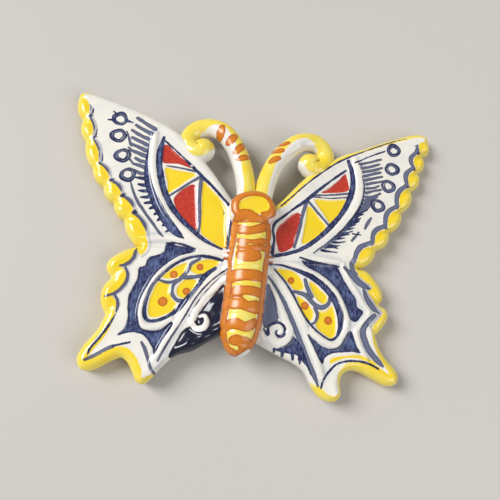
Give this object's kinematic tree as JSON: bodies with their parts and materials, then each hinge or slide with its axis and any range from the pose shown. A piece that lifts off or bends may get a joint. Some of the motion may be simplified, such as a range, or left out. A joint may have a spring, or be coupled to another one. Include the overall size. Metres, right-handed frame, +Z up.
{
  "type": "butterfly ornament",
  "caption": "Glazed earthenware butterfly with a round body, drooping lobed wings, curled antennae and coloured enamel in the hollows between raised lines.",
  "frame": {"origin": "on the table, under the middle of the box round the wings", "axes": "+X across the span to the right of the butterfly seen from above, +Y towards the head, +Z up from the table"},
  "size_m": [0.1498, 0.1168, 0.0206],
  "materials": {
    "white_glaze": "gloss",
    "yellow_glaze": "gloss",
    "red_glaze": "gloss",
    "orange_glaze": "gloss",
    "blue_glaze": "gloss",
    "grey_blue_glaze": "gloss"
  },
  "bodies": {
    "root": {"body": "white_glaze", "head": "white_glaze", "head_patch": "yellow_glaze", "head_frame": "orange_glaze", "body_orange_bands": "orange_glaze", "body_yellow_bands": "yellow_glaze", "left_forewing": "white_glaze", "left_forewing_rim": "yellow_glaze", "left_forewing_cell_lines": "blue_glaze", "left_forewing_red_pools": "red_glaze", "left_forewing_yellow_pools": "yellow_glaze", "left_forewing_fringe": "blue_glaze", "left_forewing_rings": "blue_glaze", "left_forewing_scallop_line": "grey_blue_glaze", "left_hindwing": "white_glaze", "left_hindwing_rim": "yellow_glaze", "left_hindwing_cell_lines": "blue_glaze", "left_hindwing_yellow_pools": "yellow_glaze", "left_hindwing_field": "blue_glaze", "left_hindwing_inner_field": "blue_glaze", "left_hindwing_scallop_line": "grey_blue_glaze", "left_hindwing_dots": "orange_glaze", "left_antenna": "white_glaze", "left_antenna_dabs": "orange_glaze", "right_forewing": "white_glaze", "right_forewing_rim": "yellow_glaze", "right_forewing_cell_lines": "blue_glaze", "right_forewing_red_pools": "red_glaze", "right_forewing_yellow_pools": "yellow_glaze", "right_forewing_fringe": "blue_glaze", "right_forewing_rings": "blue_glaze", "right_forewing_scallop_line": "grey_blue_glaze", "right_hindwing": "white_glaze", "right_hindwing_rim": "yellow_glaze", "right_hindwing_cell_lines": "blue_glaze", "right_hindwing_yellow_pools": "yellow_glaze", "right_hindwing_field": "blue_glaze", "right_hindwing_inner_field": "blue_glaze", "right_hindwing_scallop_line": "grey_blue_glaze", "right_hindwing_dots": "orange_glaze", "right_antenna": "white_glaze", "right_antenna_dabs": "orange_glaze"}
  },
  "joints": []
}
